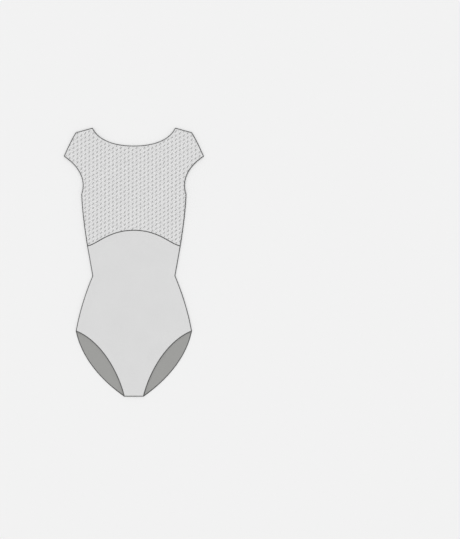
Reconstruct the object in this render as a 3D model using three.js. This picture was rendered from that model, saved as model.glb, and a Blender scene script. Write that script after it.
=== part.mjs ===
import * as THREE from "three";

// A ballet leotard with cut-on cap sleeves, laid flat on its back with the front up.
// Millimetres, +Z up. X runs across the garment and +Y to the shoulders, and the origin is on the
// surface under its middle. Outline sizes are [half width from the centre line, rise above the crotch].

const LENGTH = 670; // crotch to neck points
const CLOTH = 1; // wall of one layer
const GAP = 0.3; // between layers, and between pieces at a seam

const neckPoint = [104, LENGTH];
const shoulder = [144.6, 658.8];
const sleeveTip = [174, 600.2];
const underarm = [130.5, 503];
const yokeCorner = [116, 375.8];
const waist = [102.6, 301];
const hip = [144, 163.5];
const crotch = [23.5, 0];
const frontNeckBottom = [0, 625];
const backNeckBottom = [0, 394.9];
const frontSeamMiddle = [0, 414.7];
const backSeamMiddle = [0, 340.4];

// Heights of each layer's middle surface above the supporting surface.
const BACK_LEVEL = CLOTH / 2;
const UNDER_LEVEL = BACK_LEVEL + CLOTH + GAP;
const OVER_LEVEL = UNDER_LEVEL + CLOTH + GAP;

// The rounded edge where front and back are sewn together.
const ROUND = 3; // radius in plan
const FRONT_END = 2.3; // level at which the front's wall ends above the seam
const BACK_END = 1.05; // level at which the back's wall ends below it
const RIDGE = 1.1; // how far the turned-in seam lifts the front beside the edge
const RIDGE_WIDTH = 24;
const RIDGES_START = 4; // the soft ridges fade out towards a sewn edge, down to here
const LINING_INSET = 2.6; // the lining stops short of the sewn edges
const LINING_LIFT = 0.15; // and lies a little high there, clear of the back's turned-up edge
const LINING_SETTLED = 6; // this far in it follows the net over it
const CORNER_STEP = 7; // a short step along another edge, next to a sewn one

const YOKE_STEP = 18; // width over which the front body rises to the two-layer yoke
const NECK_SINK = 0.7; // how far the front sinks where the scooped back has no cloth
const NECK_SINK_START = 12; // and where the sinking starts and ends, in from the scooped edge
const NECK_SINK_END = 45;
const CURL = 0.5; // how far the back's leg edges curl up
const CURL_WIDTH = 5;
const CURL_RISES = [15, 45, 130, 152]; // where the curl starts, is full, still is full and ends

// Soft ridges where the front stands off the back. turn is in degrees from +X.
const RIDGES = [
  { x: -66, rise: 322, length: 84, width: 13, turn: -14, height: 0.9 },
  { x: 70, rise: 312, length: 70, width: 12, turn: 11, height: 0.8 },
  { x: -40, rise: 108, length: 120, width: 13, turn: 122, height: 1.0 },
  { x: 46, rise: 116, length: 104, width: 12, turn: 56, height: 0.9 },
  { x: -8, rise: 222, length: 190, width: 34, turn: 4, height: 1.2 },
  { x: -92, rise: 470, length: 78, width: 13, turn: 38, height: 0.8 },
  { x: 96, rise: 478, length: 66, width: 12, turn: 144, height: 0.9 },
  { x: -52, rise: 520, length: 96, width: 30, turn: 64, height: 0.9 },
  { x: 56, rise: 508, length: 110, width: 32, turn: 118, height: 1.0 },
  { x: 2, rise: 372, length: 130, width: 26, turn: 90, height: 0.7 },
];

const plan = ([half, rise]) => new THREE.Vector2(half, rise);

function line(from, to) {
  return new THREE.LineCurve(plan(from), plan(to));
}

function bend(from, handleA, handleB, to) {
  return new THREE.CubicBezierCurve(plan(from), plan(handleA), plan(handleB), plan(to));
}

// The right half of each drawn line, from the sleeve or the side towards the centre or the crotch.
const capSeam = bend(sleeveTip, [165.1, 620.4], [155.9, 640.3], shoulder);
const shoulderSeam = line(shoulder, neckPoint);
const frontNeck = bend(neckPoint, [86.6, 633.4], [36.4, 625], frontNeckBottom);
const backNeck = bend(neckPoint, [104, 602.5], [95.6, 394.9], backNeckBottom);
const armhole = bend(sleeveTip, [141, 578.8], [116, 544], underarm);
const yokeSide = bend(underarm, [128.5, 461], [122.5, 416], yokeCorner);
const waistSide = line(yokeCorner, waist);
const hipSide = bend(waist, [121, 257], [135.6, 211], hip);
const frontLeg = bend(hip, [82.7, 136.8], [40.8, 63.6], crotch);
const backLeg = bend(hip, [130, 94.8], [79, 39], crotch);
const frontSeam = bend(yokeCorner, [93, 378.5], [64, 414.7], frontSeamMiddle);
const backSeam = bend(yokeCorner, [74.2, 352.8], [46.5, 340.4], backSeamMiddle);
const crotchSeam = line(crotch, [0, 0]);

// A curve cut into equal steps, but for a short one at an end where it leaves a sewn edge.
function cut(curve, steps, shortStart = false, shortEnd = false) {
  const low = shortStart ? CORNER_STEP / curve.getLength() : 0;
  const high = shortEnd ? 1 - CORNER_STEP / curve.getLength() : 1;
  const equal = steps - shortStart - shortEnd;
  const shares = Array.from({ length: equal + 1 }, (_, k) => low + ((high - low) * k) / equal);
  if (shortStart) shares.unshift(0);
  if (shortEnd) shares.push(1);
  return shares.map((share) => curve.getPointAt(Math.min(share, 1)));
}

// Points along curves that follow one another.
function along(...runs) {
  return runs.flatMap((run, i) => cut(...run).slice(i ? 1 : 0));
}

const mirrored = (points) => points.map((p) => new THREE.Vector2(-p.x, p.y));
// A whole line from left to right, for its right half from the side to the centre.
const whole = (half) => [...mirrored(half), ...half.slice(0, -1).reverse()];

const smooth = (low, high, value) => THREE.MathUtils.smoothstep(value, low, high);

function distanceTo(path, x, y) {
  const p = new THREE.Vector2(x, y);
  let nearest = Infinity;
  for (let i = 1; i < path.length; i++) {
    const side = path[i].clone().sub(path[i - 1]);
    const share = THREE.MathUtils.clamp(p.clone().sub(path[i - 1]).dot(side) / side.lengthSq(), 0, 1);
    nearest = Math.min(nearest, p.distanceTo(side.multiplyScalar(share).add(path[i - 1])));
  }
  return nearest;
}

// Half width of a neck line at a rise, for a path that runs from the neck point to the centre.
function halfWidthAt(path, rise) {
  for (let i = 1; i < path.length; i++) {
    if (path[i].y <= rise) {
      const share = (rise - path[i].y) / (path[i - 1].y - path[i].y);
      return THREE.MathUtils.lerp(path[i].x, path[i - 1].x, Math.min(share, 1));
    }
  }
  return 0;
}

const FINE = 24; // steps of a curve that distances are measured to

const sewnEdges = [
  along([capSeam, FINE], [shoulderSeam, 1]),
  along([yokeSide, FINE], [waistSide, 1], [hipSide, FINE]),
  along([crotchSeam, 1]),
];
const backNeckPath = along([backNeck, FINE]);
const backLegPath = along([backLeg, FINE]);
const frontSeamPath = along([frontSeam, FINE]);
const backSeamPath = along([backSeam, FINE]);

const fromSewn = (x, y) => Math.min(...sewnEdges.map((path) => distanceTo(path, Math.abs(x), y)));

// From 0 at a sewn edge to 1 past its rounding, as a quarter circle rises.
function quarter(distance) {
  const share = THREE.MathUtils.clamp((distance - CLOTH / 2) / ROUND, 0, 1);
  return Math.sqrt(1 - (1 - share) ** 2);
}

function ridges(x, rise) {
  let sum = 0;
  for (const fold of RIDGES) {
    const turn = THREE.MathUtils.degToRad(fold.turn);
    const dx = x - fold.x;
    const dy = rise - fold.rise;
    const lengthwise = (dx * Math.cos(turn) + dy * Math.sin(turn)) / (fold.length / 2);
    const crosswise = (dy * Math.cos(turn) - dx * Math.sin(turn)) / fold.width;
    sum += fold.height * Math.exp(-(crosswise ** 2) - lengthwise ** 4);
  }
  return sum;
}

// How far every front layer stands above or below its level.
function frontRelief(x, rise) {
  const edge = fromSewn(x, rise);
  const inScoop = rise > backNeckBottom[1] && Math.abs(x) < halfWidthAt(backNeckPath, rise);
  const fromScoop = inScoop ? distanceTo(backNeckPath, Math.abs(x), rise) : 0;
  const scoop = smooth(NECK_SINK_START, NECK_SINK_END, fromScoop);
  const beside = 1 - smooth(ROUND, RIDGE_WIDTH, edge);
  return RIDGE * beside + ridges(x, rise) * smooth(RIDGES_START, RIDGE_WIDTH, edge) - NECK_SINK * scoop;
}

function overHeight(x, rise) {
  const open = OVER_LEVEL + frontRelief(x, rise);
  return FRONT_END + (open - FRONT_END) * quarter(fromSewn(x, rise));
}

function liningHeight(x, rise) {
  const settled = smooth(LINING_INSET, LINING_SETTLED, fromSewn(x, rise));
  return UNDER_LEVEL + THREE.MathUtils.lerp(LINING_LIFT, frontRelief(x, rise), settled);
}

function frontBodyHeight(x, rise) {
  const toYoke = 1 - smooth(0, YOKE_STEP, distanceTo(frontSeamPath, Math.abs(x), rise));
  const open = UNDER_LEVEL + (OVER_LEVEL - UNDER_LEVEL) * toYoke + frontRelief(x, rise);
  return FRONT_END + (open - FRONT_END) * quarter(fromSewn(x, rise));
}

function backHeight(x, rise) {
  return BACK_END + (BACK_LEVEL - BACK_END) * quarter(fromSewn(x, rise));
}

function backBodyHeight(x, rise) {
  const [start, full, stillFull, end] = CURL_RISES;
  const curl = Math.exp(-((distanceTo(backLegPath, Math.abs(x), rise) / CURL_WIDTH) ** 2));
  const share = smooth(start, full, rise) * (1 - smooth(stillFull, end, rise));
  return backHeight(x, rise) + CURL * curl * share;
}

// Moves each point of a closed anticlockwise outline inwards by its own distance.
function inset(outline, distance) {
  const count = outline.length;
  const leftOf = (a, b) => new THREE.Vector2(a.y - b.y, b.x - a.x).normalize();
  return outline.map((p, i) => {
    const before = leftOf(outline[(i + count - 1) % count], p);
    const after = leftOf(p, outline[(i + 1) % count]);
    const mitre = before.clone().add(after).divideScalar(1 + before.dot(after));
    return p.clone().addScaledVector(mitre, distance(p));
  });
}

// A patch between four sides, given left to right and bottom to top.
function patchPoint({ bottom, right, top, left }, i, j) {
  const u = i / (bottom.length - 1);
  const v = j / (right.length - 1);
  const blend = (a, b, t) => a.clone().lerp(b, t);
  const acrossPart = blend(left[j], right[j], u);
  const upPart = blend(bottom[i], top[i], v);
  const corners = blend(blend(bottom[0], bottom.at(-1), u), blend(top[0], top.at(-1), u), v);
  return acrossPart.add(upPart).sub(corners);
}

const RING_DEPTH = 4.5; // how far in from the drawn line the rings of quads along an outline reach
const RING_SHARES = [0, 0.12, 0.38, 1];

// The middle surface of a panel: rings of quads along its outline, and a patch inside them.
function middleSurface(sides, edgeInset, height) {
  const columns = sides.bottom.length - 1;
  const rows = sides.right.length - 1;
  const outline = [
    ...sides.bottom.slice(0, -1),
    ...sides.right.slice(0, -1),
    ...sides.top.slice(1).reverse(),
    ...sides.left.slice(1).reverse(),
  ];
  const around = outline.length;
  const loops = RING_SHARES.map((share) =>
    inset(outline, (p) => THREE.MathUtils.lerp(edgeInset(p), RING_DEPTH, share)),
  );
  const inner = loops.at(-1);
  const part = (from, to) => Array.from({ length: to - from + 1 }, (_, k) => inner[(from + k) % around]);
  const innerSides = {
    bottom: part(0, columns),
    right: part(columns, columns + rows),
    top: part(columns + rows, 2 * columns + rows).reverse(),
    left: part(2 * columns + rows, around).reverse(),
  };

  const points = loops.flat();
  const lastLoop = (loops.length - 1) * around;
  const index = (i, j) => {
    if (j === 0) return lastLoop + i;
    if (i === columns) return lastLoop + columns + j;
    if (j === rows) return lastLoop + 2 * columns + rows - i;
    if (i === 0) return lastLoop + ((around - j) % around);
    return loops.length * around + (j - 1) * (columns - 1) + (i - 1);
  };
  for (let j = 1; j < rows; j++) {
    for (let i = 1; i < columns; i++) {
      points.push(patchPoint(innerSides, i, j));
    }
  }

  const faces = [];
  const quad = (a, b, c, d) => faces.push(a, b, c, a, c, d);
  for (let ring = 0; ring + 1 < loops.length; ring++) {
    for (let k = 0; k < around; k++) {
      const next = (k + 1) % around;
      const outer = ring * around;
      quad(outer + k, outer + next, outer + around + next, outer + around + k);
    }
  }
  for (let j = 0; j < rows; j++) {
    for (let i = 0; i < columns; i++) {
      quad(index(i, j), index(i + 1, j), index(i + 1, j + 1), index(i, j + 1));
    }
  }
  return { points: points.map((p) => [p.x, p.y - LENGTH / 2, height(p.x, p.y)]), faces, around };
}

// Gives a middle surface the cloth's thickness, half to each side, and closes its rim.
function wall({ points, faces, around }) {
  const middle = new THREE.BufferGeometry();
  middle.setAttribute("position", new THREE.Float32BufferAttribute(points.flat(), 3));
  middle.setIndex(faces);
  middle.computeVertexNormals();
  const normal = middle.getAttribute("normal");
  const side = (sign) =>
    points.map((p, i) =>
      new THREE.Vector3(...p).addScaledVector(
        new THREE.Vector3().fromBufferAttribute(normal, i),
        (sign * CLOTH) / 2,
      ),
    );
  const vertices = [...side(1), ...side(-1)];
  const under = points.length;
  const solid = [...faces];
  for (let f = 0; f < faces.length; f += 3) {
    solid.push(under + faces[f], under + faces[f + 2], under + faces[f + 1]);
  }
  for (let k = 0; k < around; k++) {
    const next = (k + 1) % around;
    solid.push(k, under + k, under + next, k, under + next, next);
  }
  const geometry = new THREE.BufferGeometry().setFromPoints(vertices);
  geometry.setIndex(solid);
  geometry.computeVertexNormals();
  return geometry;
}

// Steps that the lines are cut into, for half of a line where it crosses the centre.
const STEPS = {
  cap: 3,
  shoulder: 2,
  frontNeck: 7,
  armhole: 8,
  yokeSide: 6,
  waistSide: 4,
  hipSide: 5,
  leg: 9,
};
const YOKE_SEAM_STEPS = STEPS.cap + STEPS.shoulder + STEPS.frontNeck;
const BACK_YOKE_STEPS = { armhole: 8, yokeSide: 5, backSeam: YOKE_SEAM_STEPS };

const panelSides = (bottom, right, top) => ({ bottom, right, top, left: mirrored(right) });

function bodySides(leg, seam) {
  const toHip = [hipSide, STEPS.hipSide];
  const toCrotch = [leg, STEPS.leg, true, true];
  const side = along([waistSide, STEPS.waistSide], toHip, toCrotch).reverse();
  const base = whole(along([crotchSeam, YOKE_SEAM_STEPS]));
  return panelSides(base, side, whole(along([seam, YOKE_SEAM_STEPS, true])));
}

function frontYokeSides() {
  const side = along([armhole, STEPS.armhole, true, true], [yokeSide, STEPS.yokeSide]).reverse();
  const neck = [frontNeck, STEPS.frontNeck, true];
  const top = along([capSeam, STEPS.cap], [shoulderSeam, STEPS.shoulder], neck);
  return panelSides(whole(along([frontSeam, YOKE_SEAM_STEPS, true])), side, whole(top));
}

// The U-shaped back yoke, as a band whose bottom is its outer edge and whose top is the neck edge.
function backYokeSides() {
  const { armhole: hole, yokeSide: side, backSeam: seam } = BACK_YOKE_STEPS;
  const outer = along([armhole, hole, true, true], [yokeSide, side], [backSeam, seam, true]);
  const neck = along([backNeck, hole + side + seam, true]);
  const end = along([capSeam, STEPS.cap], [shoulderSeam, STEPS.shoulder]);
  return panelSides(whole(outer), end, whole(neck));
}

const onLine = (path, p) => distanceTo(path, Math.abs(p.x), p.y) < GAP;
const isSewn = (p) => sewnEdges.some((path) => onLine(path, p));

// How far a panel's outline stays inside the drawn one.
function edgeInset(yokeSeam, sewnInset) {
  return (p) => {
    if (isSewn(p)) return sewnInset;
    return onLine(yokeSeam, p) ? GAP / 2 : 0;
  };
}

function panel(name, sides, yokeSeam, height, material, sewnInset = CLOTH / 2) {
  const surface = middleSurface(sides, edgeInset(yokeSeam, sewnInset), height);
  const mesh = new THREE.Mesh(wall(surface), material);
  mesh.name = name;
  return mesh;
}

const cloth = (color, roughness) =>
  new THREE.MeshStandardMaterial({ color, roughness, metalness: 0, side: THREE.DoubleSide });
const jersey = cloth(0xdadada, 0.75);
const linedNet = cloth(0xd5d5d5, 0.85);
const sheerNet = cloth(0xeeeeee, 0.85);

const frontYoke = frontYokeSides();

const leotard = new THREE.Group();
leotard.name = "ballet_leotard";
leotard.add(
  panel("back_body", bodySides(backLeg, backSeam), backSeamPath, backBodyHeight, jersey),
  panel("back_yoke_net", backYokeSides(), backSeamPath, backHeight, sheerNet),
  panel("front_body", bodySides(frontLeg, frontSeam), frontSeamPath, frontBodyHeight, jersey),
  panel("front_yoke_lining", frontYoke, frontSeamPath, liningHeight, jersey, LINING_INSET),
  panel("front_yoke_net", frontYoke, frontSeamPath, overHeight, linedNet),
);

export default leotard;
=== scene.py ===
"""A ballet leotard laid flat on its back with the front up, on a pale floor.

Outline points are millimetres: how far from the centre line, and how far above the crotch. Heights
are millimetres above the floor. Meshes are made from them in metres, in the frame's axes.
"""

import math

import bpy
import numpy as np
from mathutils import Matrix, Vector
from mathutils.geometry import delaunay_2d_cdt


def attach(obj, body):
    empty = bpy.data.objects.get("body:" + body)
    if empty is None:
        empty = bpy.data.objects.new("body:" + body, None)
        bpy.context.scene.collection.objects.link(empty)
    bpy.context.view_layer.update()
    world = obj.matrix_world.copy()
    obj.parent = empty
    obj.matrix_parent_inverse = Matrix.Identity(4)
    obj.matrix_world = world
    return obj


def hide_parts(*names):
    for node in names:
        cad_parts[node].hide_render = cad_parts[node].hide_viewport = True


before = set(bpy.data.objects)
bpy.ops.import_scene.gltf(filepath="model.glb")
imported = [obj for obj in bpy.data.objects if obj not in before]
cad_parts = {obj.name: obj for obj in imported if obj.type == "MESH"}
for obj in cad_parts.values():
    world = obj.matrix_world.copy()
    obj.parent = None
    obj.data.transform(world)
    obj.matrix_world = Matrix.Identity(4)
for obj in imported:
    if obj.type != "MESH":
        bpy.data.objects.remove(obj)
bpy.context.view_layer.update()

MM = 0.001

# The cut
LENGTH = 670  # crotch to neck points
NECK_POINT = (104, LENGTH)
SHOULDER = (144.6, 658.8)
SLEEVE_TIP = (174, 600.2)
UNDERARM = (130.5, 503)
YOKE_CORNER = (116, 375.8)
WAIST = (102.6, 301)
HIP = (144, 163.5)
CROTCH = (23.5, 0)
FRONT_NECK_BOTTOM = (0, 625)
BACK_NECK_BOTTOM = (0, 394.9)
FRONT_SEAM_MIDDLE = (0, 414.7)
BACK_SEAM_MIDDLE = (0, 340.4)
CROTCH_MIDDLE = (0, 0)

# Thicknesses, and levels of each layer's middle
JERSEY = 0.8
LINING = 0.6
NET = 0.34
BACK_LEVEL = 0.42
UNDER_LEVEL = 1.8  # of the front's lower layer
OVER_LEVEL = 3.1  # and of its upper one
SEAM_LEVEL = 1.68  # where front and back meet at the sewn edges
FRONT_END = 2.3  # where the front's cloth ends there
BACK_END = 1.05  # and the back's
ROUND = 3  # radius of the rounded sewn edges, in plan
EDGE_INSET = 0.4  # cloth ends this far inside the drawn lines
SEWN_INSET = 1.15  # and this far at the sewn edges
LINING_INSET = 1.8  # the lining stops a little further in there
LINING_LIFT = 0.15  # and lies a little high
LINING_SETTLED = 6  # this far in it follows the net over it
RIDGE = 1.1  # lift of the front beside the turned-in seams
RIDGE_WIDTH = 24
RIDGES_START = 4  # the soft ridges begin this far in
YOKE_STEP = 18  # width over which the front body rises to the two-layer yoke
NECK_SINK = 0.7  # how far the front sinks into the back neck's scoop
NECK_SINK_START = 12  # this far inside the scoop's edge it starts to sink
NECK_SINK_END = 45  # and here it has sunk
SEAM_LIFT = 0.35  # how far the back's cloth passes above its yoke seam
SEAM_LIFT_WIDTH = 4
CURL = 0.5  # how far the back's leg edges curl up
CURL_WIDTH = 5
CURL_RISES = (15, 45, 130, 152)  # where the curl starts, is full, still is full and ends

# Soft ridges where the front stands off the back: middle, rise, length, width, turn in degrees, height
RIDGES = (
    (-66, 322, 84, 13, -14, 0.9),
    (70, 312, 70, 12, 11, 0.8),
    (-40, 108, 120, 13, 122, 1.0),
    (46, 116, 104, 12, 56, 0.9),
    (-8, 222, 190, 34, 4, 1.2),
    (-92, 470, 78, 13, 38, 0.8),
    (96, 478, 66, 12, 144, 0.9),
    (-52, 520, 96, 30, 64, 0.9),
    (56, 508, 110, 32, 118, 1.0),
    (2, 372, 130, 26, 90, 0.7),
)

# The waves at the edges are closer on the left half, and uneven
LEFT_WAVES = 1.07
WAVE_STRAY = 3.1
WAVE_STRAY_LENGTH = 23

# Sewing. Half heights follow each half width.
EDGE_HALF_WIDTH = 1.4  # of the rolled free edges
FRONT_ROLL = 1.3  # at the front's neck and armholes
LEG_ROLL = 0.9  # at its legs
BACK_ROLL = 0.66  # at the back's neck and armholes
BACK_LEG_ROLL = 0.82  # at its legs
ROLL_REACH = 3.5  # a free edge's roll comes down to the seam level over this length
SEAM_HALF_WIDTH = 1.0  # of the sides, shoulders and crotch
SEAM_ROLL = 1.6
FLAT_SEAM_HALF_WIDTH = 1.4  # of the yoke seams
FLAT_SEAM = 0.5
SEAM_END_LIFT = 0.4  # the front yoke seam lies higher on the steep cloth at its ends
OFF_FLOOR = 0.02
THREAD = 0.28  # radius of the winding thread
STITCH = 1.25  # pitch of its turns
STITCH_UNEVEN = 0.35  # how far a turn strays, in radians, and over what length
STITCH_UNEVEN_LENGTH = 4.3
TURN_STEPS = 12
THREAD_SIDES = 5
CORE_SIDES = 8
CORE_STEP = 1.25

# Net: slanting dashes in columns, every other column half a row lower
COLUMN = 9.84
ROW = 10.345
FRONT_COLUMN = -111.4  # where an even column stands, on the front and on the back
BACK_COLUMN = 102.6
EVEN_RISE = 496.1  # where a dash lies in the even columns and in the odd ones
ODD_RISE = 491.2
DASH_TURN = 55  # slant in degrees from level
DASH_HALF = 3.3  # half a dash's length
DASH_MARGIN = 1.4  # dashes stop this far from the panel's edge
STRANDS = 3
STRAND_GAP = 0.66
STRAND_RADIUS = 0.4
STRAND_SHIFT = 0.35  # how far a dash's threads are shifted along it, as a sine
STRAND_SHIFT_TURN = 2.1  # radians of that sine from one thread to the next
TAPER_START = 0.16  # a thread swells as a sine does, from here to as far before half a turn
TAPER_POWER = 0.5
FRONT_DASH_RISE = 0.35  # a front dash stands higher where it is thicker, by this times its swelling
RISE_LEVEL = 0.5  # the swelling at which it lies at the net's level
DASH_SECTIONS = 9
FEWEST_SECTIONS = 4  # a dash with fewer of them inside the panel is left out
STRAND_SIDES = 5

# Jersey
WALE = 1.0  # pitch of the jersey's upright columns of stitches
COURSE = 0.8  # pitch of its rows
STITCH_LEAN = 1.1  # rows that a stitch's leg rises over half a column
STITCH_SWING = 0.35  # along a column the relief swings by this about its mean, and peaks at 1
STITCH_RELIEF = 0.16
STITCH_BUMP = 0.7
ROWS_STRAY = 0.5  # how far rows stray, and how often over a metre
ROWS_STRAY_SCALE = 30
HEATHER_SCALE = 900  # of the fine specks over a metre
HEATHER_DETAIL = 3.0
PATCH_SCALE = 14
HEATHER_SHARE = 0.35  # shares of specks, patches and the stitches' painted shade in the tone
PATCH_SHARE = 0.25
STITCH_SHADE_SHARE = 0.4
JERSEY_TONES = (0.9, 1.09)  # the darkest and the lightest tone, as shares of the grey
JERSEY_ROUGHNESS = 0.62
JERSEY_SPECULAR = 0.3
SHEEN_ROUGHNESS = 0.5
FACE_SHEEN = 0.1
INSIDE_SHEEN = 0.05

# The net between its dashes
NET_CELL = 1.5  # pitch of the net's holes
HOLE_START = 1.0  # levels of the net's pattern, 3 in a hole's middle and -1.5 where threads meet
THREAD_START = -0.3
NET_RELIEF = 0.22
NET_BUMP = 0.8
# the darker tone in the holes is painted shade of the cloth seen through them
NET_HOLE_SHADE_TONES = (0.84, 1.04)
NET_ROUGHNESS = 0.7
NET_SPECULAR = 0.25
FRONT_NET_COVER = 0.6  # the share that isn't seen through
BACK_NET_COVER = 0.9

# Thread
FIBRE_SCALE = 2600  # of the fibres over a metre
FIBRE_DETAIL = 4.0
FIBRE_RELIEF = 0.1
FIBRE_BUMP = 0.5
FIBRE_TONES = (0.8, 1.25)
FIBRE_ROUGHNESS = 0.6
FIBRE_SHEEN = 0.15

# Greys
JERSEY_GREY = (0.69, 0.69, 0.69)
# painted shade: the cloth's inside is given a darker grey than its face, standing in for the shade in
# the leg openings
INSIDE_PAINTED_SHADE_GREY = (0.33, 0.33, 0.32)
LINING_GREY = (0.88, 0.88, 0.88)
FRONT_NET_GREY = (0.94, 0.94, 0.94)
BACK_NET_GREY = (0.95, 0.95, 0.96)
FRONT_DASH_GREY = (0.42, 0.42, 0.42)
BACK_DASH_GREY = (0.15, 0.15, 0.15)
SEWING_GREY = (0.065, 0.065, 0.065)

# Mesh steps
CURVE_STEPS = 60
EDGE_STEP = 2.6
GRID_STEP = 3.8
RING_DEPTHS = (0.5, 1.1, 1.9, 2.9, 4.6, 7.4)  # rings of points this far in from a panel's edge
RING_KEEP = 0.94  # a ring's point that is nearer the edge than this share of its depth is left out
GRID_MARGIN = 9.6  # the even grid starts this far in
TRIANGLES_INSIDE = 1  # the kind of output that keeps to the outline
SAME_POINT = 1e-4

# The stage
FLOOR_SIZE = 30  # in metres
FLOOR_GREY = (0.85, 0.85, 0.85)
FLOOR_ROUGHNESS = 0.9
FLOOR_SPECULAR = 0.1
SKY = 0.7
LAMP = 1.105
LAMP_ANGLE = 45  # how wide the lamp looks, in degrees
LAMP_FROM = (-0.12, 0.16, 1)

# The picture
PICTURE = (460, 539)
PIXEL = 2.5
GARMENT_MIDDLE = (133.9, 262.2)  # where the garment's middle lies in the picture
LENS = 135
SENSOR = 36


def bend(start, handle_a, handle_b, end):
    """A smooth curve that leaves its start towards one handle and reaches its end from the other."""
    t = np.linspace(0, 1, CURVE_STEPS + 1)[:, None]
    a, b, c, d = (np.array(p, float) for p in (start, handle_a, handle_b, end))
    return (1 - t) ** 3 * a + 3 * (1 - t) ** 2 * t * b + 3 * (1 - t) * t**2 * c + t**3 * d


def line(start, end):
    return np.array([start, end], float)


# The right half of each drawn line, from the sleeve or the side towards the centre or the crotch
cap_seam = bend(SLEEVE_TIP, (165.1, 620.4), (155.9, 640.3), SHOULDER)
shoulder_seam = line(SHOULDER, NECK_POINT)
front_neck = bend(NECK_POINT, (86.6, 633.4), (36.4, 625), FRONT_NECK_BOTTOM)
back_neck = bend(NECK_POINT, (104, 602.5), (95.6, 394.9), BACK_NECK_BOTTOM)
armhole = bend(SLEEVE_TIP, (141, 578.8), (116, 544), UNDERARM)
yoke_side = bend(UNDERARM, (128.5, 461), (122.5, 416), YOKE_CORNER)
waist_side = line(YOKE_CORNER, WAIST)
hip_side = bend(WAIST, (121, 257), (135.6, 211), HIP)
front_leg = bend(HIP, (82, 137.3), (40.1, 64.1), CROTCH)
back_leg = bend(HIP, (130, 94.8), (79, 39), CROTCH)
front_seam = bend(YOKE_CORNER, (93, 378.5), (64, 414.7), FRONT_SEAM_MIDDLE)
back_seam = bend(YOKE_CORNER, (74.2, 352.8), (46.5, 340.4), BACK_SEAM_MIDDLE)
crotch_seam = line(CROTCH, CROTCH_MIDDLE)


def joined(*paths):
    """Paths that follow one another, as one path."""
    return np.vstack([paths[0], *(path[1:] for path in paths[1:])])


def mirrored(path):
    return path * (-1, 1)


def whole(half):
    """A line across the garment, for its right half from the side to the centre."""
    return joined(half, mirrored(half)[::-1])


def both(half):
    """A line of the right half, and its twin on the left."""
    return half, mirrored(half)[::-1]


def closed_outline(right_half):
    """The whole anticlockwise outline of a panel, for its right half from the bottom to the top."""
    return whole(right_half)[:-1]


def walked(path):
    """How far along the path each of its points lies."""
    return np.concatenate([[0], np.cumsum(np.linalg.norm(np.diff(path, axis=0), axis=1))])


def even(path, step):
    """The path again in equal steps of about the given length."""
    lengths = walked(path)
    places = np.linspace(0, lengths[-1], max(1, round(lengths[-1] / step)) + 1)
    return np.stack([np.interp(places, lengths, part) for part in path.T], axis=1)


def even_corners(curves):
    """Curves that follow one another in equal steps, with their corners kept."""
    return joined(*(even(curve, EDGE_STEP) for curve in curves))


def nearest(path, points):
    """Each point's distance to a path, and how far along the path it is nearest."""
    best = np.full(len(points), np.inf)
    where = np.zeros(len(points))
    for start, end, before in zip(path[:-1], path[1:], walked(path)):
        side = end - start
        length = np.linalg.norm(side)
        share = np.clip((points - start) @ side / length**2, 0, 1)
        distance = np.linalg.norm(points - start - share[:, None] * side, axis=1)
        closer = distance < best
        best[closer] = distance[closer]
        where[closer] = before + share[closer] * length
    return best, where


def folded(points):
    """The points with the left half laid on the right."""
    return np.abs(points[:, 0])[:, None] * (1, 0) + points[:, 1][:, None] * (0, 1)


def smooth(low, high, value):
    """From 0 at low to 1 at high, with no kink at either."""
    share = np.clip((value - low) / (high - low), 0, 1)
    return share * share * (3 - 2 * share)


def bell(distance, width):
    """From 1 at no distance down to nothing past about twice the width."""
    return np.exp(-((distance / width) ** 2))


sewn_edges = (
    joined(cap_seam, shoulder_seam),
    joined(yoke_side, waist_side, hip_side),
    crotch_seam,
)


def from_sewn(points):
    return np.min([nearest(path, folded(points))[0] for path in sewn_edges], axis=0)


def quarter(distance):
    """From 0 at a sewn edge to 1 past its rounding, as a quarter circle rises."""
    left = 1 - np.clip((distance - SEWN_INSET) / ROUND, 0, 1)
    return np.sqrt(1 - left**2)


def ridges(points):
    """The soft ridges, each level along its length and rounded across it."""
    total = np.zeros(len(points))
    for x, rise, length, width, turn, height in RIDGES:
        cosine, sine = math.cos(math.radians(turn)), math.sin(math.radians(turn))
        dx, dy = points[:, 0] - x, points[:, 1] - rise
        lengthwise = (dx * cosine + dy * sine) / (length / 2)
        crosswise = (dy * cosine - dx * sine) / width
        total += height * np.exp(-(crosswise**2) - lengthwise**4)
    return total


# Waves at the edges: line, wave length, how far in they reach, and height
FRONT_PUCKERS = (
    (front_neck, 12, 7, 0.3),
    (armhole, 10, 7, 0.35),
    (front_leg, 11, 8, 0.45),
    (front_seam, 13, 6, 0.2),
)
BACK_PUCKERS = (
    (back_neck, 12, 6, 0.25),
    (armhole, 10, 6, 0.25),
    (back_leg, 11, 7, 0.35),
)


def puckers(points, edges):
    """Small uneven waves that fade out from the edges whose stitching draws the cloth in."""
    total = np.zeros(len(points))
    for path, wave, reach, height in edges:
        distance, along = nearest(path, folded(points))
        stretched = along * np.where(points[:, 0] < 0, LEFT_WAVES, 1)
        uneven = stretched + WAVE_STRAY * np.sin(along / WAVE_STRAY_LENGTH)
        ripple = 0.5 + 0.5 * np.sin(2 * math.pi * uneven / wave)
        total = np.maximum(total, height * ripple * bell(distance, reach))
    return total


def front_relief(points):
    """How far every front layer stands above or below its level."""
    edge = from_sewn(points)
    neck_rises, neck_widths = back_neck[::-1, 1], back_neck[::-1, 0]
    in_scoop = np.abs(points[:, 0]) < np.interp(points[:, 1], neck_rises, neck_widths, left=0)
    from_scoop = np.where(in_scoop, nearest(back_neck, folded(points))[0], 0)
    relief = RIDGE * (1 - smooth(ROUND, RIDGE_WIDTH, edge))
    relief += ridges(points) * smooth(RIDGES_START, RIDGE_WIDTH, edge)
    relief -= NECK_SINK * smooth(NECK_SINK_START, NECK_SINK_END, from_scoop)
    return relief + puckers(points, FRONT_PUCKERS)


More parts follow.
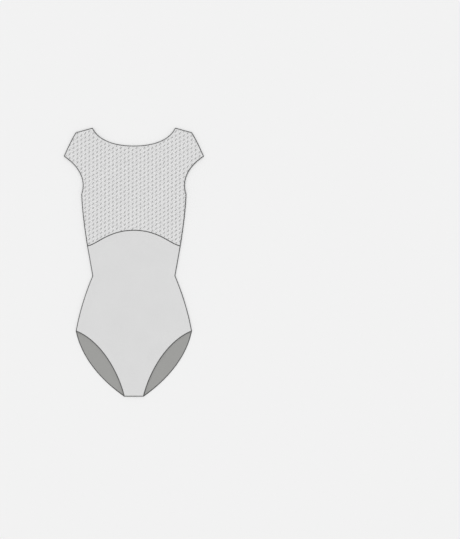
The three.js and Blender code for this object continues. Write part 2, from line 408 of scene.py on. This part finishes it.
# Heights of the layers' middles. Where net and body have rounded edges, the lining stays low.
def over_height(points):
    open_height = OVER_LEVEL + front_relief(points)
    return FRONT_END + (open_height - FRONT_END) * quarter(from_sewn(points))


def lining_height(points):
    settled = smooth(LINING_INSET, LINING_SETTLED, from_sewn(points))
    return UNDER_LEVEL + LINING_LIFT * (1 - settled) + front_relief(points) * settled


def two_layer_height(points):
    return (lining_height(points) + over_height(points)) / 2


def front_body_height(points):
    to_yoke = 1 - smooth(0, YOKE_STEP, nearest(front_seam, folded(points))[0])
    open_height = UNDER_LEVEL + (OVER_LEVEL - UNDER_LEVEL) * to_yoke + front_relief(points)
    return FRONT_END + (open_height - FRONT_END) * quarter(from_sewn(points))


def back_height(points):
    seam_lift = SEAM_LIFT * bell(nearest(back_seam, folded(points))[0], SEAM_LIFT_WIDTH)
    open_height = BACK_LEVEL + puckers(points, BACK_PUCKERS) + seam_lift
    return BACK_END + (open_height - BACK_END) * quarter(from_sewn(points))


def back_body_height(points):
    start, full, still_full, end = CURL_RISES
    rises = points[:, 1]
    share = smooth(start, full, rises) * (1 - smooth(still_full, end, rises))
    from_leg = nearest(back_leg, folded(points))[0]
    return back_height(points) + CURL * share * bell(from_leg, CURL_WIDTH)


def in_frame(points, heights):
    """Points in plan and their heights, in the frame's axes but still in millimetres."""
    return np.stack([points[:, 0], points[:, 1] - LENGTH / 2, heights], axis=1)


def unit(vectors):
    return vectors / np.linalg.norm(vectors, axis=1, keepdims=True)


def new_piece(name, vertices, faces, materials, face_slots=None):
    """A mesh piece from vertices in millimetres, riding on the garment's one body."""
    mesh = bpy.data.meshes.new(name)
    mesh.from_pydata((vertices * MM).tolist(), [], faces)
    for material in materials:
        mesh.materials.append(material)
    if face_slots is not None:
        mesh.polygons.foreach_set("material_index", face_slots)
    mesh.shade_smooth()
    piece = bpy.data.objects.new(name, mesh)
    bpy.context.scene.collection.objects.link(piece)
    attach(piece, "root")
    return piece


def inside(outline, points):
    """Which points an outline goes round."""
    result = np.zeros(len(points), bool)
    for (x0, y0), (x1, y1) in zip(outline, np.roll(outline, -1, axis=0)):
        crosses = (y0 > points[:, 1]) != (y1 > points[:, 1])
        if y0 != y1:
            result ^= crosses & (points[:, 0] < x0 + (points[:, 1] - y0) * (x1 - x0) / (y1 - y0))
    return result


def inward(outline):
    """At each point, the way into the outline, made longer at a corner for its mitre."""
    side = unit(np.roll(outline, -1, axis=0) - outline)
    left = np.stack([-side[:, 1], side[:, 0]], axis=1)
    before = np.roll(left, 1, axis=0)
    mitre = 1 + np.sum(left * before, axis=1)
    return (left + before) / mitre[:, None]


def fill(outline):
    """Points and triangles inside an outline: rings close to its edge, and an even grid further in."""
    loop = np.vstack([outline, outline[:1]])
    layers = [outline]
    normals = inward(outline)
    for depth in RING_DEPTHS:
        ring = outline + depth * normals
        layers.append(ring[inside(outline, ring) & (nearest(loop, ring)[0] > RING_KEEP * depth)])
    low, high = outline.min(0), outline.max(0)
    rows = np.arange(low[1], high[1], GRID_STEP * math.sqrt(3) / 2)
    columns = np.arange(low[0], high[0], GRID_STEP)
    grid = np.array([(x + GRID_STEP / 2 * (j % 2), y) for j, y in enumerate(rows) for x in columns])
    layers.append(grid[inside(outline, grid) & (nearest(loop, grid)[0] > GRID_MARGIN)])
    count = len(outline)
    edges = [(i, (i + 1) % count) for i in range(count)]
    points = [Vector(p) for p in np.vstack(layers)]
    found = delaunay_2d_cdt(points, edges, [], TRIANGLES_INSIDE, SAME_POINT)
    return np.array([tuple(p) for p in found[0]]), np.array(found[2])


def vertex_normals(vertices, faces):
    a, b, c = (vertices[faces[:, k]] for k in range(3))
    face_normals = np.cross(b - a, c - a)
    normals = np.zeros_like(vertices)
    for k in range(3):
        np.add.at(normals, faces[:, k], face_normals)
    return unit(normals)


def rim_edges(faces):
    """The directed edges that only one triangle has."""
    edges = [(a, b) for face in faces.tolist() for a, b in zip(face, face[1:] + face[:1])]
    known = set(edges)
    return [(a, b) for a, b in edges if (b, a) not in known]


def shell(name, right_half, height, thickness, upper, under, sewn_inset=SEWN_INSET):
    """A thin closed sheet of cloth over a panel's outline, with a material for each side."""
    outline = closed_outline(even_corners(right_half))
    is_sewn = from_sewn(outline) < EDGE_INSET
    outline = outline + np.where(is_sewn, sewn_inset, EDGE_INSET)[:, None] * inward(outline)
    points, faces = fill(outline)
    middle = in_frame(points, height(points))
    offset = vertex_normals(middle, faces) * thickness / 2
    vertices = np.vstack([middle + offset, middle - offset])
    count = len(middle)
    rim = [(b, a, a + count, b + count) for a, b in rim_edges(faces)]
    turned = faces[:, ::-1] + count
    slots = [0] * len(faces) + [1] * len(turned) + [0] * len(rim)
    return new_piece(name, vertices, faces.tolist() + turned.tolist() + rim, [upper, under], slots)


def tube(centres, outward, across, radii, sides):
    """Vertices and faces of a closed tube. radii is (along outward, along across)."""
    turns = (np.arange(sides) * 2 * math.pi / sides)[:, None, None]
    ring = radii[0] * np.cos(turns) * outward + radii[1] * np.sin(turns) * across
    vertices = (centres + ring).transpose(1, 0, 2).reshape(-1, 3)
    count = len(centres)
    faces = []
    for i in range(count - 1):
        for k in range(sides):
            a, b = i * sides + k, i * sides + (k + 1) % sides
            faces.append((a, b, b + sides, a + sides))
    faces.append(tuple(range(sides))[::-1])
    faces.append(tuple(range((count - 1) * sides, count * sides)))
    return vertices, faces


def merged(parts):
    """Several (vertices, faces) as one."""
    faces = []
    count = 0
    for vertices, part_faces in parts:
        faces += [tuple(i + count for i in face) for face in part_faces]
        count += len(vertices)
    return np.vstack([vertices for vertices, _ in parts]), faces


def wound_line(path, heights, half_width, half_height):
    """A stitched line: an oval core wound with thread, along a path in plan at the given heights."""
    line_points = in_frame(path, heights)
    lengths = walked(line_points)

    def at(places):
        centres = np.stack([np.interp(places, lengths, part) for part in line_points.T], axis=1)
        along = unit(np.gradient(centres, axis=0))
        aside = unit(np.stack([-along[:, 1], along[:, 0], np.zeros(len(along))], axis=1))
        return centres, aside, np.cross(along, aside)

    width, height = half_width - THREAD, half_height - THREAD
    steps = max(2, round(lengths[-1] / CORE_STEP))
    core = tube(*at(np.linspace(0, lengths[-1], steps + 1)), (width, height), CORE_SIDES)

    turns = round(lengths[-1] / STITCH)
    places = np.linspace(0, lengths[-1], turns * TURN_STEPS + 1)
    centres, aside, up = at(places)
    uneven = STITCH_UNEVEN * np.sin(places / STITCH_UNEVEN_LENGTH)
    phase = 2 * math.pi * places / lengths[-1] * turns + uneven
    cosine, sine = np.cos(phase)[:, None], np.sin(phase)[:, None]
    helix = centres + width * cosine * aside + height * sine * up
    away = unit(cosine / width * aside + sine / height * up)
    across = unit(np.cross(np.gradient(helix, axis=0), away))
    return merged([core, tube(helix, away, across, (THREAD, THREAD), THREAD_SIDES)])


def sewing(name, lines, material):
    """One piece of stitched lines, each (path, heights, half width, half height)."""
    vertices, faces = merged([wound_line(*stitched) for stitched in lines])
    return new_piece(name, vertices, faces, [material])


def free_edge(path, layer_height, half_height):
    """The rolled edge along a free edge, which meets the sewn edges at their own level."""
    path = even(path, EDGE_STEP / 2)
    share = smooth(0, ROLL_REACH, from_sewn(path))
    heights = SEAM_LEVEL + (layer_height(path) - SEAM_LEVEL) * share
    return path, np.maximum(heights, half_height + OFF_FLOOR), EDGE_HALF_WIDTH, half_height


def free_edges(half, layer_height, half_height):
    return [free_edge(path, layer_height, half_height) for path in both(half)]


def sewn_edge(path):
    path = even(path, EDGE_STEP / 2)
    return path, np.full(len(path), SEAM_LEVEL), SEAM_HALF_WIDTH, SEAM_ROLL


def flat_seam(half_path, height):
    path = even(whole(half_path), EDGE_STEP / 2)
    heights = np.maximum(height(path), FLAT_SEAM + OFF_FLOOR)
    return path, heights, FLAT_SEAM_HALF_WIDTH, FLAT_SEAM


def on_front(points):
    """The front yoke seam's height: on the cloth's face, and higher where the cloth is steep."""
    lift = SEAM_END_LIFT * bell(from_sewn(points), ROUND)
    return front_body_height(points) + JERSEY / 2 + lift


def under_back(points):
    """The back yoke seam's height, below the cloth that passes over it."""
    return back_height(points) - SEAM_LIFT


def strand(centres, across, ends):
    """One thread of a dash: a tube that thins towards its ends."""
    along = unit(np.gradient(centres, axis=0))
    outward = np.cross(np.broadcast_to(across, along.shape), along)
    radius = STRAND_RADIUS * ends[:, None]
    return tube(centres, outward, across, (radius, radius), STRAND_SIDES)


def dash_centres(low, high, first_column):
    """Where dashes may lie in plan, in columns that reach past both corners of a box."""
    first = math.floor((low[0] - first_column) / COLUMN)
    last = math.ceil((high[0] - first_column) / COLUMN)
    centres = []
    for column in range(first, last + 1):
        x = first_column + COLUMN * column
        base = EVEN_RISE if column % 2 == 0 else ODD_RISE
        lowest = math.floor((low[1] - base) / ROW)
        highest = math.ceil((high[1] - base) / ROW)
        centres += [(x, base + ROW * row) for row in range(lowest, highest + 1)]
    return np.array(centres)


def dash_runs(outline, first_column, slant):
    """For each dash, points along it in plan, cut off where it would reach the panel's edge."""
    loop = np.vstack([outline, outline[:1]])
    turn = math.radians(DASH_TURN)
    direction = np.array([slant * math.cos(turn), math.sin(turn)])
    centres = dash_centres(outline.min(0), outline.max(0), first_column)
    shares = np.linspace(-1, 1, DASH_SECTIONS)
    runs = centres[:, None, :] + DASH_HALF * shares[:, None] * direction
    flat = runs.reshape(-1, 2)
    good = (inside(outline, flat) & (nearest(loop, flat)[0] > DASH_MARGIN)).reshape(runs.shape[:2])
    half = DASH_SECTIONS // 2
    kept = []
    for run, fine in zip(runs, good):
        count = fine.sum()
        if count >= FEWEST_SECTIONS and (fine[half] or count > half):
            kept.append(run[fine])
    return kept, direction


def dashes(name, right_half, height, first_column, slant, lift, material):
    """The dashes woven into a net panel, three threads side by side in each."""
    outline = closed_outline(even_corners(right_half))
    runs, direction = dash_runs(outline, first_column, slant)
    across = np.array([direction[1], -direction[0]])
    parts = []
    for run in runs:
        swelling = np.sin(np.linspace(TAPER_START, math.pi - TAPER_START, len(run)))
        ends = swelling**TAPER_POWER
        for k in range(STRANDS):
            side = (k - (STRANDS - 1) / 2) * STRAND_GAP
            shift = direction * STRAND_SHIFT * math.sin(STRAND_SHIFT_TURN * k + run[0, 0])
            parts.append((run + side * across + shift, ends))
    heights = height(np.vstack([plan for plan, _ in parts]))
    made = []
    count = 0
    for plan, ends in parts:
        top = heights[count : count + len(plan)] + lift * (ends - RISE_LEVEL)
        count += len(plan)
        made.append(strand(in_frame(plan, top), np.array([*across, 0]), ends))
    vertices, faces = merged(made)
    return new_piece(name, vertices, faces, [material])


def nodes_of(name):
    material = bpy.data.materials.new(name)
    material.use_nodes = True
    tree = material.node_tree
    return material, tree, tree.nodes["Principled BSDF"]


def add(tree, kind, **inputs):
    node = tree.nodes.new(kind)
    for socket, value in inputs.items():
        node.inputs[socket].default_value = value
    return node


def frame_coordinates(tree):
    return add(tree, "ShaderNodeTexCoord").outputs["Object"]


def math_node(tree, operation, *values):
    node = tree.nodes.new("ShaderNodeMath")
    node.operation = operation
    for socket, value in zip(node.inputs, values):
        if isinstance(value, (int, float)):
            socket.default_value = value
        else:
            tree.links.new(value, socket)
    return node.outputs[0]


def grey_mix(tree, share, grey, tones):
    """A grey from its darkest tone to its lightest, by a share from 0 to 1."""
    darkest, lightest = (tuple(min(1, channel * tone) for channel in grey) for tone in tones)
    mix = tree.nodes.new("ShaderNodeMix")
    mix.data_type = "RGBA"
    mix.inputs["A"].default_value = (*darkest, 1)
    mix.inputs["B"].default_value = (*lightest, 1)
    tree.links.new(share, mix.inputs["Factor"])
    return mix.outputs["Result"]


def noise(tree, coordinates, scale, detail=2.0):
    node = add(tree, "ShaderNodeTexNoise", Scale=scale, Detail=detail)
    tree.links.new(coordinates, node.inputs["Vector"])
    return node.outputs["Fac"]


def set_bump(tree, shader, height, depth, strength):
    """Relief of the given depth in millimetres."""
    bump = add(tree, "ShaderNodeBump", Distance=depth * MM, Strength=strength)
    tree.links.new(height, bump.inputs["Height"])
    tree.links.new(bump.outputs["Normal"], shader.inputs["Normal"])


def plan_millimetres(tree, coordinates):
    """X and Y in millimetres, a little astray as knitted rows are."""
    parts = tree.nodes.new("ShaderNodeSeparateXYZ")
    tree.links.new(coordinates, parts.inputs["Vector"])
    stray = math_node(tree, "MULTIPLY", noise(tree, coordinates, ROWS_STRAY_SCALE), ROWS_STRAY)
    return [math_node(tree, "MULTIPLY_ADD", parts.outputs[axis], 1 / MM, stray) for axis in "XY"]


def knit_face(tree, coordinates):
    """Relief of jersey's face: upright columns of small V stitches, from 0 to 1."""
    x, y = plan_millimetres(tree, coordinates)
    # From 0 at the middle of a column to a half at its side, then from -1 to 1 across one leg of its V
    aside = math_node(tree, "PINGPONG", math_node(tree, "DIVIDE", x, WALE), 0.5)
    off_leg = math_node(tree, "MULTIPLY_ADD", aside, 4, -1)
    leg = math_node(tree, "SUBTRACT", 1, math_node(tree, "MULTIPLY", off_leg, off_leg))
    lean = math_node(tree, "MULTIPLY", aside, STITCH_LEAN)
    rise = math_node(tree, "SUBTRACT", math_node(tree, "DIVIDE", y, COURSE), lean)
    wave = math_node(tree, "COSINE", math_node(tree, "MULTIPLY", rise, 2 * math.pi))
    stitch = math_node(tree, "MULTIPLY_ADD", wave, STITCH_SWING, 1 - STITCH_SWING)
    return math_node(tree, "MULTIPLY", leg, stitch)


def knit_back(tree, coordinates):
    """Relief of jersey's inside: level rows of small arcs, from 0 to 1."""
    x, y = plan_millimetres(tree, coordinates)
    swing = math_node(tree, "SINE", math_node(tree, "MULTIPLY", x, 2 * math.pi / WALE))
    turn = math_node(tree, "MULTIPLY_ADD", y, 2 * math.pi / COURSE, swing)
    return math_node(tree, "MULTIPLY_ADD", math_node(tree, "SINE", turn), 0.5, 0.5)


def net_threads(tree, coordinates):
    """1 on the threads of a net with six-sided holes and 0 in the holes."""
    x, y = plan_millimetres(tree, coordinates)
    turns = 4 * math.pi / (math.sqrt(3) * NET_CELL)
    total = 0.0
    for direction in (90, 210, 330):
        across_x = math_node(tree, "MULTIPLY", x, math.cos(math.radians(direction)) * turns)
        across_y = math.sin(math.radians(direction)) * turns
        wave = math_node(tree, "COSINE", math_node(tree, "MULTIPLY_ADD", y, across_y, across_x))
        total = math_node(tree, "ADD", wave, total)
    edge = tree.nodes.new("ShaderNodeMapRange")
    edge.interpolation_type = "SMOOTHSTEP"
    edge.inputs["From Min"].default_value = HOLE_START
    edge.inputs["From Max"].default_value = THREAD_START
    tree.links.new(total, edge.inputs["Value"])
    return edge.outputs["Result"]


def jersey_material(name, grey, sheen, relief=knit_face):
    """Fine knit with a slight heather in the colour, and painted shade in the hollows between its
    stitches.
    """
    material, tree, shader = nodes_of(name)
    coordinates = frame_coordinates(tree)
    stitches = relief(tree, coordinates)
    specks = noise(tree, coordinates, HEATHER_SCALE, HEATHER_DETAIL)
    heather = math_node(tree, "MULTIPLY", specks, HEATHER_SHARE)
    blotches = noise(tree, coordinates, PATCH_SCALE)
    patches = math_node(tree, "MULTIPLY_ADD", blotches, PATCH_SHARE, heather)
    # the stitches' share of the tone is painted shade, darker in the hollows of their relief; specks
    # and patches are the yarn's own heather
    tone = math_node(tree, "MULTIPLY_ADD", stitches, STITCH_SHADE_SHARE, patches)
    tree.links.new(grey_mix(tree, tone, grey, JERSEY_TONES), shader.inputs["Base Color"])
    shader.inputs["Roughness"].default_value = JERSEY_ROUGHNESS
    shader.inputs["Specular IOR Level"].default_value = JERSEY_SPECULAR
    shader.inputs["Sheen Weight"].default_value = sheen
    shader.inputs["Sheen Roughness"].default_value = SHEEN_ROUGHNESS
    set_bump(tree, shader, stitches, STITCH_RELIEF, STITCH_BUMP)
    return material


def net_material(name, grey, cover):
    """Fine stretch net, see-through all over by the share that its holes leave."""
    material, tree, shader = nodes_of(name)
    coordinates = frame_coordinates(tree)
    threads = net_threads(tree, coordinates)
    # painted shade: the net's colour is darker in its holes than on its threads
    tree.links.new(grey_mix(tree, threads, grey, NET_HOLE_SHADE_TONES), shader.inputs["Base Color"])
    shader.inputs["Roughness"].default_value = NET_ROUGHNESS
    shader.inputs["Specular IOR Level"].default_value = NET_SPECULAR
    shader.inputs["Alpha"].default_value = cover
    set_bump(tree, shader, threads, NET_RELIEF, NET_BUMP)
    return material


def thread_material(name, grey):
    """Spun thread, with fine fibres and a little unevenness along it."""
    material, tree, shader = nodes_of(name)
    coordinates = frame_coordinates(tree)
    fibres = noise(tree, coordinates, FIBRE_SCALE, FIBRE_DETAIL)
    tree.links.new(grey_mix(tree, fibres, grey, FIBRE_TONES), shader.inputs["Base Color"])
    shader.inputs["Roughness"].default_value = FIBRE_ROUGHNESS
    shader.inputs["Sheen Weight"].default_value = FIBRE_SHEEN
    set_bump(tree, shader, fibres, FIBRE_RELIEF, FIBRE_BUMP)
    return material


jersey = jersey_material("body_jersey", JERSEY_GREY, FACE_SHEEN)
# painted shade: the inside of the jersey gets a darker grey than the same cloth's face
jersey_inside_painted_shade = jersey_material("body_jersey_inside_painted_shade", INSIDE_PAINTED_SHADE_GREY, INSIDE_SHEEN, knit_back)
lining_jersey = jersey_material("lining_jersey", LINING_GREY, INSIDE_SHEEN)
front_net = net_material("front_net", FRONT_NET_GREY, FRONT_NET_COVER)
back_net = net_material("back_net", BACK_NET_GREY, BACK_NET_COVER)
front_dash_thread = thread_material("front_dash_thread", FRONT_DASH_GREY)
back_dash_thread = thread_material("back_dash_thread", BACK_DASH_GREY)
sewing_thread = thread_material("sewing_thread", SEWING_GREY)

# The right half of each panel's outline, from its bottom middle to its top middle
BACK_BODY = [crotch_seam[::-1], back_leg[::-1], hip_side[::-1], waist_side[::-1], back_seam]
FRONT_BODY = [crotch_seam[::-1], front_leg[::-1], hip_side[::-1], waist_side[::-1], front_seam]
FRONT_YOKE = [front_seam[::-1], yoke_side[::-1], armhole[::-1], cap_seam, shoulder_seam, front_neck]
BACK_YOKE = [back_seam[::-1], yoke_side[::-1], armhole[::-1], cap_seam, shoulder_seam, back_neck]


def build_panels():
    """The sheets of cloth that take the places of the CAD panels, by the panels' names."""
    made = {
        # the back's upper side, seen in the leg openings, takes the darker inside grey, which is
        # painted shade
        "back_body": shell(
            "back_body_cloth", BACK_BODY, back_body_height, JERSEY, jersey_inside_painted_shade, jersey
        ),
        "back_yoke_net": shell(
            "back_net_cloth", BACK_YOKE, back_height, NET, back_net, back_net
        ),
        "front_body": shell(
            "front_body_cloth", FRONT_BODY, front_body_height, JERSEY, jersey, jersey_inside_painted_shade
        ),
        "front_yoke_lining": shell(
            "front_lining_cloth",
            FRONT_YOKE,
            lining_height,
            LINING,
            lining_jersey,
            lining_jersey,
            LINING_INSET,
        ),
        "front_yoke_net": shell(
            "front_net_cloth", FRONT_YOKE, over_height, NET, front_net, front_net
        ),
    }
    for node, piece in made.items():
        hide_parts(node)
    return made


def build_sewing():
    side_path = joined(yoke_side, waist_side, hip_side)
    shoulder_path = joined(cap_seam, shoulder_seam)
    lines = {
        "front_neck_edge": [free_edge(whole(front_neck), two_layer_height, FRONT_ROLL)],
        "back_neck_edge": [free_edge(whole(back_neck), back_height, BACK_ROLL)],
        "front_armhole_edges": free_edges(armhole, two_layer_height, FRONT_ROLL),
        "back_armhole_edges": free_edges(armhole, back_height, BACK_ROLL),
        "front_leg_edges": free_edges(front_leg, front_body_height, LEG_ROLL),
        "back_leg_edges": free_edges(back_leg, back_body_height, BACK_LEG_ROLL),
        "side_seams": [sewn_edge(path) for path in both(side_path)],
        "shoulder_seams": [sewn_edge(path) for path in both(shoulder_path)],
        "crotch_seam": [sewn_edge(whole(crotch_seam))],
        "front_yoke_seam": [flat_seam(front_seam, on_front)],
        "back_yoke_seam": [flat_seam(back_seam, under_back)],
    }
    made = {}
    for name, stitched in lines.items():
        made[name] = sewing(name, stitched, sewing_thread)
    return made


def on_net(points):
    return over_height(points) + NET / 2


def build_dashes():
    """The front's dashes lie on the net, the back's in it. From above they slant opposite ways."""
    front = dashes(
        "front_net_dashes",
        FRONT_YOKE,
        on_net,
        FRONT_COLUMN,
        1,
        FRONT_DASH_RISE,
        front_dash_thread,
    )
    back = dashes("back_net_dashes", BACK_YOKE, back_height, BACK_COLUMN, -1, 0, back_dash_thread)
    return front, back


def build_stage():
    """A pale floor, an even sky and one wide soft lamp from the upper left."""
    bpy.ops.mesh.primitive_plane_add(size=FLOOR_SIZE, location=(0, 0, 0))
    floor = bpy.context.object
    floor.name = "floor"
    material, _, shader = nodes_of("floor")
    shader.inputs["Base Color"].default_value = (*FLOOR_GREY, 1)
    shader.inputs["Roughness"].default_value = FLOOR_ROUGHNESS
    shader.inputs["Specular IOR Level"].default_value = FLOOR_SPECULAR
    floor.data.materials.append(material)

    world = bpy.data.worlds.new("studio")
    world.use_nodes = True
    world.node_tree.nodes["Background"].inputs["Color"].default_value = (1, 1, 1, 1)
    world.node_tree.nodes["Background"].inputs["Strength"].default_value = SKY
    bpy.context.scene.world = world

    lamp = bpy.data.lights.new("wide_lamp", "SUN")
    lamp.energy = LAMP
    lamp.angle = math.radians(LAMP_ANGLE)
    lamp_object = bpy.data.objects.new("wide_lamp", lamp)
    lamp_object.rotation_euler = Vector(LAMP_FROM).to_track_quat("Z", "Y").to_euler()
    bpy.context.scene.collection.objects.link(lamp_object)
    bpy.context.scene.view_settings.view_transform = "Standard"


def build_camera():
    """Straight down, with the garment where it stands in the picture."""
    camera = bpy.data.cameras.new("camera")
    camera.lens = LENS
    camera.sensor_width = SENSOR
    pixel = PIXEL * MM
    distance = PICTURE[1] * pixel * LENS / SENSOR
    x = (PICTURE[0] / 2 - GARMENT_MIDDLE[0]) * pixel
    y = (GARMENT_MIDDLE[1] - PICTURE[1] / 2) * pixel
    camera_object = bpy.data.objects.new("camera", camera)
    camera_object.location = (x, y, distance)
    bpy.context.scene.collection.objects.link(camera_object)
    bpy.context.scene.camera = camera_object


build_camera()
build_stage()
panels = build_panels()
sewn = build_sewing()
front_dashes, back_dashes = build_dashes()
